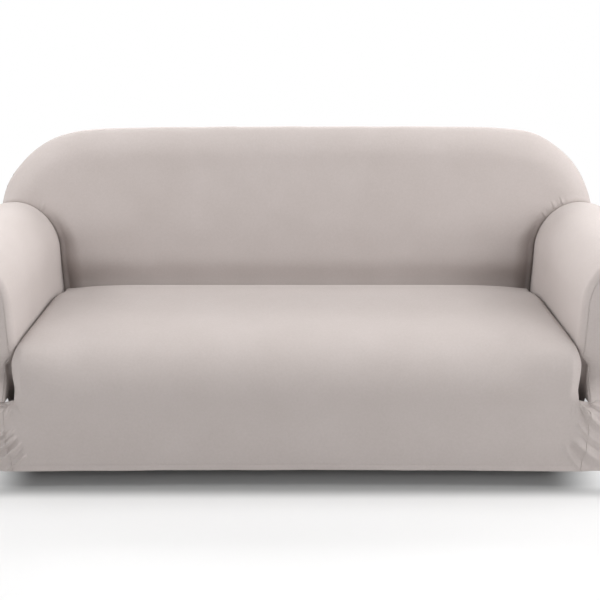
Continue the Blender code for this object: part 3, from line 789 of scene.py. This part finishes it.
def skirt_seam(side):
    """Arm front and seat along the seam between them, at each height in FINE_Z."""
    x = skirt_seam_x(FINE_Z)
    crease = stacked(x, skirt_y(x, FINE_Z) - fold_height(x, FINE_Z, FOLDS[side]), FINE_Z)
    normal = np.tile(vec(0, -1, 0), (len(crease), 1))
    depth = mix(ALLOWANCE, 0.004, smooth((FINE_Z - 0.18) / 0.027))[:, None]
    return seam(crease, normal, normal, FINE_TURN, depth, FINE_GAP)


def make_arm_front(side, low, front, material):
    folds = FOLDS[side]
    shares = np.concatenate([steps(0.985, 0.72, 0.017), steps(0.70, 0.04, 0.036)])

    def middle(z):
        z = np.asarray(z, float)
        return stacked(ROLL_X, FACING_MIDDLE - FACING_LEAN * (1 - smooth(z / 0.34)), z)

    def settle(p):
        return p - fold_height(p[..., 0], p[..., 2], folds)[..., None] * vec(0, 1, 0)

    def rows_of(edge, center):
        face = edge[:, 0]
        level_face = face + fold_height(face[:, 0], face[:, 2], folds)[:, None] * vec(0, 1, 0)
        part = shares[None, :, None]
        p = mix(center[:, None], level_face[:, None], part)
        y = mix(center[:, None, 1:2], level_face[:, None, 1:2], part ** 2.5)
        x, z = p[..., 0], p[..., 2]
        sag = smooth((z - 0.168) / 0.044) * smooth((x - skirt_seam_x(z)) / 0.006)
        sag = sag * (center[:, None, 2] <= PINCH)
        sag = FLARE_SAG * sag * np.clip((ROLL_X - x) / (ROLL_X - ARM_IN - FLARE), 0, 1)
        p = stacked(x, y[..., 0], z - sag)
        return np.concatenate([edge[:, ::-1], settle(p), settle(center)[:, None]], axis=1)

    spine_z = np.concatenate([LOW_Z, HIGH_Z])
    low_edge = read_table(FINE_Z, low[0][0], LOW_Z)
    high_edge = read_table(FINE_Q, front[0][0], (HIGH_Z - ARM_FOOT) / (ROLL_Z - ARM_FOOT))
    arch_q = steps(1, 2, 0.0165)[1:]
    arch_edge = read_table(FINE_Q, front[0][0], arch_q)
    outer_edge = read_table(FINE_Q, front[0][0], np.minimum(3 - spine_z[::-1] / ROLL_Z, 3))
    inner = rows_of(np.concatenate([low_edge, high_edge]), middle(spine_z))
    arch = rows_of(arch_edge, middle(np.full(len(arch_q), ROLL_Z)))
    outer = rows_of(outer_edge, middle(spine_z[::-1]))
    sign = SIGN[side]
    sheet = Sheet()
    for grid, hem in ((np.concatenate([inner, arch]), 0), (outer, -1)):
        u = running(grid, 1)
        away = u - u[:, TURNED - 1: TURNED]
        calm = smooth((away - 0.004) / 0.02)
        height = calm * (unevenness(grid * vec(sign, 1, 1)) + hem_roll(grid[..., 2]))
        grid = grid - height[..., None] * vec(0, 1, 0)
        grid = level(grid, hem)
        seams = seam_map(grid, (TURNED - 1,))
        flat = grid[..., ::2].copy()
        sheet.add(mirrored(grid) if sign < 0 else grid, flat, seams)
    return sheet.object("arm_front_cloth_" + side, vec(0, -1, 0), material)


def seat_top(x, y):
    pitch = SEAT_PITCH * (1 - smooth((0.11 - y) / 0.15))
    corner = np.maximum((np.abs(x) - 0.50) / 0.25, 0.0) ** 2.3 * smooth((y - 0.02) / 0.12)
    return SEAT_TOP - pitch - SEAT_CORNER_DROP * corner


def nose(power):
    """The cushion's front, evenly spaced from its flat top down to its foot: rows of (y, z)."""
    a = np.linspace(0, math.pi / 2, 2401)
    y = FRONT_FLAT - FRONT_DEEP * np.sin(a) ** (2 / power)
    z = FRONT_BREAK + (SEAT_TOP - FRONT_BREAK) * np.cos(a) ** (2 / power)
    run = np.concatenate([[0.0], np.cumsum(np.hypot(np.diff(y), np.diff(z)))])
    even = np.linspace(0, run[-1], 801)
    return np.stack([np.interp(even, run, y), np.interp(even, run, z)], axis=1)


SOFT = nose(SOFT_NOSE)
BOXY = nose(BOXY_NOSE)


def nose_points(x, share):
    """The cushion's front is round in the middle and boxy at its ends."""
    at = share * (len(SOFT) - 1)
    where = np.arange(len(SOFT))
    soft = [np.interp(at, where, SOFT[:, k]) for k in (0, 1)]
    boxy = [np.interp(at, where, BOXY[:, k]) for k in (0, 1)]
    t = smooth((np.abs(x) - 0.56) / 0.16)
    return stacked(x, mix(soft[0], boxy[0], t), mix(soft[1], boxy[1], t))


def make_seat(lows, material):
    half = np.concatenate([steps(0, 0.88, 0.0165), steps(0.88, 1.0, 0.0032)[1:]])
    columns = np.concatenate([-half[:0:-1], half])
    flat_y = steps(SEAT_REAR - SEAT_TURN, FRONT_FLAT, 0.009)
    share = np.concatenate([np.zeros(len(flat_y)), steps(0, 0.945, 0.019)[1:]])[:, None]
    y = np.concatenate([flat_y, np.full(len(share) - len(flat_y), FRONT_FLAT)])[:, None]

    a = math.pi / 2 * share[:, 0]
    inward = stacked(0 * a, np.sin(a), -np.cos(a))
    boxy = smooth((share[:, 0] - 0.42) / 0.20)

    def place(x):
        level_top = stacked(x, y, seat_top(x, y))
        p = np.where(share[..., None] > 0, nose_points(x, share), level_top)
        over = np.abs(x) - BEVEL_FROM
        over = (over + np.sqrt(over ** 2 + BEVEL_SOFT ** 2)) / 2
        return p + (over * slope)[..., None] * inward[:, None]

    slope = 0.0
    height = place(np.full_like(y, SEAT_HALF))[:, 0, 2] - PINCH
    slope = BEVEL * boxy * smooth(height / 0.035)
    limit = SEAT_HALF - GAP / 2 + 0.006 * smooth((share[:, 0] - 0.52) / 0.14) * np.clip(height / 0.10, 0, 1)
    radius = mix(FINE_TURN, mix(SEAT_TURN, NOSE_TURN, boxy), smooth(height / 0.022))
    depth = mix(0.014, SEAT_TUCK, smooth(height / 0.03))
    arrive = unit(vec(1, 0, 0) + slope[:, None] * inward)
    reach = radius[:, None] * np.tan(np.arccos(dot(arrive, inward)) / 2)
    x_end = limit - reach[:, 0] * arrive[:, 0]
    slope = slope[:, None]
    end = place(x_end[:, None])[:, 0]
    y_end, z_end = end[:, 1], end[:, 2]
    edge = turned(end + reach * arrive, arrive, inward, radius[:, None], depth[:, None])
    angle = np.linspace(0, math.pi / 2, TURN_STEPS + 1)
    bend = SEAT_TURN * np.sin(angle)
    drop = SEAT_TURN * (1 - np.cos(angle))
    edge[0, :TURN_STEPS + 1] = stacked(x_end[0] + bend, y_end[0] + bend, z_end[0] - drop)
    wall = z_end[0] - SEAT_TURN - SEAT_TUCK * np.array(WALL_STEPS)
    edge[0, TURN_STEPS + 1:] = stacked(limit[0], SEAT_REAR, wall)
    middle = place(columns * x_end[:, None])
    top = np.concatenate([mirrored(edge[:, ::-1]), middle[:, 1:-1], edge], axis=1)

    heights = LOW_Z[::-1]
    right = read_table(FINE_Z, lows["right"][1][0], heights)
    left = read_table(FINE_Z, lows["left"][1][0], heights)
    x = np.where(columns > 0, columns * right[:, :1, 0], columns * left[:, :1, 0])
    folds = [fold_height(np.abs(x), heights[:, None], FOLDS[side]) for side in ("right", "left")]
    folds = np.where(columns > 0, *folds)
    middle = stacked(x, skirt_y(x, heights[:, None]) - folds, heights[:, None])
    skirt = np.concatenate([mirrored(left[:, ::-1]), middle[:, 1:-1], right], axis=1)
    between = mix(top[-1], skirt[0], 0.5)
    grid = np.concatenate([top, between[None], skirt])

    rear = []
    for k in range(TURNED - 1, 0, -1):
        strip = top[0, TURNED: -TURNED] + vec(0, edge[0, k, 1] - y_end[0], edge[0, k, 2] - z_end[0])
        rear.append(np.concatenate([mirrored(edge[0, k])[None], strip, edge[0, k][None]]))
    core = slice(TURNED - 1, 1 - TURNED)
    rear = np.array(rear + [grid[0, core]])

    u = running(grid, 1)
    first, last = TURNED - 1, grid.shape[1] - TURNED
    away = np.minimum(u - u[:, first: first + 1], u[:, last: last + 1] - u)
    calm = smooth((away - 0.002) / 0.03) * smooth((0.118 - grid[..., 1]) / 0.03)
    height = calm * (unevenness(grid) * 1.3 + hem_roll(grid[..., 2]))
    flat = flatten(grid, grid.shape[1] // 2)
    seams = seam_map(grid, (first, last))
    rear_flat = flatten(rear, rear.shape[1] // 2)
    rear_flat[..., 1] -= rear_flat[-1:, :, 1]
    sheet = Sheet()
    sheet.add(level(raised(grid, height, vec(0, -0.5, 1)), -1), flat, seams)
    sheet.add(rear, rear_flat, np.full(rear.shape[:2] + (2,), 0.2))
    return sheet.object("seat_cloth", vec(0, 0, 1), material)


# ---- materials

def add_node(tree, kind, **settings):
    node = tree.nodes.new(kind)
    for name, value in settings.items():
        setattr(node, name, value)
    return node


def math_node(tree, operation, first, second=None):
    node = tree.nodes.new("ShaderNodeMath")
    node.operation = operation
    for socket, value in zip(node.inputs, (first, second)):
        if value is None:
            continue
        if hasattr(value, "is_output"):
            tree.links.new(value, socket)
        else:
            socket.default_value = value
    return node.outputs[0]


def split_map(tree, name):
    """The two coordinates of one of the cloth's maps."""
    source = add_node(tree, "ShaderNodeUVMap", uv_map=name)
    split = add_node(tree, "ShaderNodeSeparateXYZ")
    tree.links.new(source.outputs["UV"], split.inputs[0])
    return split.outputs["X"], split.outputs["Y"]


def noise(tree, place, scale, detail):
    node = add_node(tree, "ShaderNodeTexNoise")
    node.inputs["Scale"].default_value = scale
    node.inputs["Detail"].default_value = detail
    tree.links.new(place, node.inputs["Vector"])
    return node.outputs["Fac"]


# Sizes in the knit, and the levels of its two colours
WALE = 0.0019
COURSE = 0.0015
SEAM_STITCH = 0.0055
HEM_STITCH = 0.0045
HEM_STITCH_HALF = 0.0011
DARK_YARN = (0.429, 0.381, 0.362, 1)
PALE_YARN = (0.487, 0.439, 0.423, 1)


def knit_material():
    """Soft brushed stretch knit in pale warm grey."""
    material = bpy.data.materials.new("stretch_knit")
    material.use_nodes = True
    tree = material.node_tree
    link = tree.links.new
    shader = tree.nodes["Principled BSDF"]
    shader.inputs["Roughness"].default_value = 0.86
    shader.inputs["Specular IOR Level"].default_value = 0.22
    shader.inputs["Sheen Weight"].default_value = 0.22
    shader.inputs["Sheen Roughness"].default_value = 0.45
    shader.inputs["Sheen Tint"].default_value = (1.0, 0.97, 0.95, 1)

    def calc(operation, first, second=None):
        return math_node(tree, operation, first, second)

    # Ribs and loops of the knit, in metres along and across the cloth
    across_cloth, along_cloth = split_map(tree, "cloth")
    wale = calc("DIVIDE", across_cloth, WALE)
    leg = calc("ABSOLUTE", calc("SUBTRACT", calc("FRACT", wale), 0.5))
    course = calc("ADD", calc("DIVIDE", along_cloth, COURSE), leg)
    loop = calc("SINE", calc("MULTIPLY", course, 2 * math.pi))
    groove = calc("POWER", calc("MULTIPLY", leg, 2.0), 3.0)
    knit = calc("SUBTRACT", calc("MULTIPLY", loop, 0.35), groove)

    # Brushed fibres, uneven yarn and slow mottling
    place = add_node(tree, "ShaderNodeTexCoord").outputs["Object"]
    fuzz = noise(tree, place, 900, 3)
    yarn = noise(tree, place, 160, 4)
    slow = noise(tree, place, 7, 3)

    # Stitches that draw the cloth in along each seam, and the nearness to it that also paints shade into the
    # colour
    along_seam, from_seam = split_map(tree, "seam")
    near = calc("POWER", calc("DIVIDE", from_seam, SEAM_STITCH), 2.0)
    near = calc("EXPONENT", calc("MULTIPLY", near, -1.0))
    stitch = calc("SINE", calc("MULTIPLY", along_seam, 2 * math.pi / SEAM_STITCH))
    pucker = calc("MULTIPLY", near, calc("ADD", calc("MULTIPLY", stitch, 0.5), -0.4))

    # Row of stitches that holds the hem
    spot = add_node(tree, "ShaderNodeSeparateXYZ")
    link(place, spot.inputs[0])
    up = calc("DIVIDE", calc("SUBTRACT", spot.outputs["Z"], HEM_FOLD), HEM_STITCH_HALF)
    hem = calc("EXPONENT", calc("MULTIPLY", calc("POWER", up, 2.0), -1.0))
    beat = calc("SINE", calc("MULTIPLY", across_cloth, 2 * math.pi / HEM_STITCH))
    hem = calc("MULTIPLY", hem, calc("ADD", calc("MULTIPLY", beat, 0.5), 0.5))

    relief = calc("ADD", calc("MULTIPLY", knit, 0.00022), calc("MULTIPLY", fuzz, 0.00020))
    relief = calc("ADD", relief, calc("MULTIPLY", yarn, 0.0004))
    relief = calc("ADD", relief, calc("MULTIPLY", pucker, 0.00055))
    relief = calc("SUBTRACT", relief, calc("MULTIPLY", hem, 0.0005))
    bump = add_node(tree, "ShaderNodeBump")
    bump.inputs["Strength"].default_value = 0.55
    bump.inputs["Distance"].default_value = 1.0
    link(relief, bump.inputs["Height"])
    link(bump.outputs["Normal"], shader.inputs["Normal"])

    # Colour: yarn to yarn, loop to loop, a slow drift over the whole cloth, and shade painted darker along
    # each seam
    tone = calc("ADD", calc("MULTIPLY", yarn, 0.50), calc("MULTIPLY", slow, 0.50))
    tone = calc("ADD", tone, calc("MULTIPLY", knit, 0.10))
    # Painted shade: the cloth is coloured darker close to each seam
    tone = calc("SUBTRACT", tone, calc("MULTIPLY", near, 0.10))
    ramp = add_node(tree, "ShaderNodeValToRGB")
    low, high = ramp.color_ramp.elements
    low.position, low.color = 0.2, DARK_YARN
    high.position, high.color = 0.8, PALE_YARN
    link(tone, ramp.inputs["Fac"])
    link(ramp.outputs["Color"], shader.inputs["Base Color"])
    return material


# ---- light, floor and camera

FLOOR_Z = -0.047
FLOOR_HALF = 14.0
DOME = 13.5
DOME_TURNS = 64
DOME_LIFT = 0.001
DOME_FROM = 1.9
DOME_FULL = 2.8
FLOOR_WHITE = (0.80, 0.80, 0.80, 1)
# Painted shadow: the floor's colour beneath the cover and just in front of its hem
FLOOR_PAINTED_SHADOW = (0.40, 0.40, 0.40, 1)


def stage(name, places, faces, material):
    mesh = bpy.data.meshes.new(name)
    mesh.from_pydata(places, [], faces)
    mesh.materials.append(material)
    thing = linked(name, mesh)
    return thing


def rise(tree, value, low, high):
    """Zero below low, one above high, and a soft step between them."""
    node = add_node(tree, "ShaderNodeMapRange", interpolation_type="SMOOTHSTEP")
    node.inputs["From Min"].default_value = low
    node.inputs["From Max"].default_value = high
    tree.links.new(value, node.inputs["Value"])
    return node.outputs["Result"]


def patch(tree, x_off, x_ramp, y_front, y_rear):
    """The floor's coordinates, and one inside a patch of it, nothing outside, with soft borders."""
    place = add_node(tree, "ShaderNodeTexCoord")
    split = add_node(tree, "ShaderNodeSeparateXYZ")
    tree.links.new(place.outputs["Object"], split.inputs[0])
    aside = math_node(tree, "ABSOLUTE", math_node(tree, "ADD", split.outputs["X"], x_off))
    front, rear = (rise(tree, split.outputs["Y"], *border) for border in (y_front, y_rear))
    inside = math_node(tree, "MULTIPLY", front, rear)
    for ramp in x_ramp:
        inside = math_node(tree, "MULTIPLY", inside, rise(tree, aside, *ramp))
    return place, inside


def make_stage():
    """A white floor with a shadow painted into its colour beneath the cover, and beyond it a white that only
    the camera sees, which also paints light over the floor below the cover's ends.
    """
    material = bpy.data.materials.new("white_floor")
    material.use_nodes = True
    tree = material.node_tree
    link = tree.links.new
    shader = tree.nodes["Principled BSDF"]
    # Painted shadow: the floor is coloured darker in a soft patch beneath the cover and just in front of its
    # hem
    _, under = patch(tree, 0.0, ((1.05, 0.95),), (-0.493, -0.433), (0.43, 0.36))
    tint = add_node(tree, "ShaderNodeValToRGB")
    tint.color_ramp.elements[0].color = FLOOR_WHITE
    tint.color_ramp.elements[1].color = FLOOR_PAINTED_SHADOW
    link(under, tint.inputs["Fac"])
    link(tint.outputs["Color"], shader.inputs["Base Color"])
    shader.inputs["Roughness"].default_value = 0.9
    shader.inputs["Specular IOR Level"].default_value = 0.0
    corners = [(FLOOR_HALF * x, FLOOR_HALF * y, FLOOR_Z) for x, y in ((-1, -1), (1, -1), (1, 1), (-1, 1))]
    stage("floor", corners, [(0, 1, 2, 3)], material)

    glow = bpy.data.materials.new("white_glow_and_painted_light")
    glow.use_nodes = True
    tree = glow.node_tree
    link = tree.links.new
    tree.nodes.clear()
    # Painted light: besides the far white, a camera-only white glow is laid over the floor below the cover's
    # ends, lifting the shadow there
    place, painted_glow = patch(tree, 0.015, ((0.70, 0.94), (1.08, 1.00)), (-0.478, -0.418), (0.22, 0.02))
    far = add_node(tree, "ShaderNodeVectorMath", operation="LENGTH")
    link(place.outputs["Object"], far.inputs[0])
    fade = math_node(tree, "MAXIMUM", rise(tree, far.outputs["Value"], DOME_FROM, DOME_FULL), painted_glow)
    clear = add_node(tree, "ShaderNodeBsdfTransparent")
    white = add_node(tree, "ShaderNodeEmission")
    white.inputs["Color"].default_value = (1.0, 1.0, 1.0, 1)
    white.inputs["Strength"].default_value = 1.0
    blend = add_node(tree, "ShaderNodeMixShader")
    link(fade, blend.inputs["Fac"])
    link(clear.outputs[0], blend.inputs[1])
    link(white.outputs[0], blend.inputs[2])
    out = add_node(tree, "ShaderNodeOutputMaterial")
    link(blend.outputs[0], out.inputs["Surface"])
    base = FLOOR_Z + DOME_LIFT
    rings = [(flat, base) for flat in (0.02, DOME_FROM, DOME_FULL, DOME)]
    rings += [(DOME * math.cos(up), base + DOME * math.sin(up)) for up in steps(0, 1.569, 0.12)[1:]]
    places, faces = [], []
    for i, (flat, z) in enumerate(rings):
        below, here = (i - 1) * DOME_TURNS, i * DOME_TURNS
        for j in range(DOME_TURNS):
            turn = 2 * math.pi * j / DOME_TURNS
            places.append((flat * math.cos(turn), flat * math.sin(turn), z))
            if i:
                k = (j + 1) % DOME_TURNS
                faces.append((below + j, below + k, here + k, here + j))
    dome = stage("backdrop", places, faces, glow)
    dome.visible_diffuse = dome.visible_glossy = dome.visible_transmission = False
    dome.visible_shadow = dome.visible_volume_scatter = False


# Soft suns: name, where from (degrees round from the front, degrees up), width in degrees, strength
SUNS = (
    ("left_low", -90, 18, 60, 1.76),
    ("right_low", 90, 18, 60, 2.16),
)

# Softboxes: name, place, what they point at, width, depth, watts
SOFTBOXES = (
    ("left_front", (-2.4, -2.8, 1.6), (0.0, 0.0, 0.5), 1.6, 1.6, 28.0),
    ("right_front", (2.4, -2.8, 1.6), (0.0, 0.0, 0.5), 1.6, 1.6, 48.0),
    ("rear", (0.0, 2.2, 2.2), (0.0, 0.0, 0.5), 3.0, 1.5, 78.0),
    ("overhead", (0.0, -0.1, 1.75), (0.0, -0.1, 0.0), 2.4, 0.9, 8.3),
    ("left_high", (-1.5, -0.2, 1.6), (-0.6, 0.0, 0.5), 1.0, 1.0, 11.7),
    ("right_high", (1.5, -0.2, 1.6), (0.6, 0.0, 0.5), 1.0, 1.0, 13.1),
)


def make_lights():
    for name, turn, up, width, strength in SUNS:
        lamp = bpy.data.lights.new(name, "SUN")
        lamp.angle = math.radians(width)
        lamp.energy = strength
        linked(name, lamp).rotation_euler = (math.radians(90 - up), 0, math.radians(turn))
    for name, place, aim, width, depth, watts in SOFTBOXES:
        lamp = bpy.data.lights.new(name, "AREA")
        lamp.shape = "RECTANGLE"
        lamp.size = width
        lamp.size_y = depth
        lamp.energy = watts
        obj = linked(name, lamp)
        obj.location = place
        obj.rotation_euler = (Vector(aim) - Vector(place)).to_track_quat("-Z", "Y").to_euler()
        obj.visible_camera = False
    world = bpy.data.worlds.new("studio")
    bpy.context.scene.world = world
    world.use_nodes = True
    world.node_tree.nodes["Background"].inputs["Strength"].default_value = 0.0


# The camera that took the photograph, worked out from it
CAMERA = (0.0095, -2.562 + MIDDLE_Y, 1.248)
CAMERA_DOWN = 19.6
LENS = 53.2


def make_camera():
    data = bpy.data.cameras.new("camera")
    data.lens = LENS
    data.sensor_width = 36
    data.sensor_fit = "HORIZONTAL"
    camera = linked("camera", data)
    camera.location = CAMERA
    camera.rotation_euler = (math.radians(90 - CAMERA_DOWN), 0, 0)
    bpy.context.scene.camera = camera


# ---- everything

def main():
    knit = knit_material()
    outlines = {side: outline_of(side) for side in TOP}
    rears = {side: rear_seam(outlines[side]) for side in TOP}
    front = front_seam()
    lows = {side: skirt_seam(side) for side in TOP}
    # Each cloth with the node that it replaces, its flat size and its area
    pieces = [
        (make_seat(lows, knit), "seat_panel", (1.75, 0.92), 1.44),
        (make_back(outlines, rears, knit), "back_panel", (2.10, 1.55), 2.74),
    ]
    for side in TOP:
        panel = make_arm_panel(side, rears[side], front, knit)
        facing = make_arm_front(side, lows[side], front, knit)
        pieces.append((panel, "arm_panel_" + side, (0.90, 1.20), 0.82))
        pieces.append((facing, "arm_front_" + side, (0.30, 0.62), 0.155))
    for piece, node, flat, area in pieces:
        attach(piece, "root")
        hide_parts(node)
    make_stage()
    make_lights()
    make_camera()
    bpy.context.scene.view_settings.view_transform = "Standard"


main()
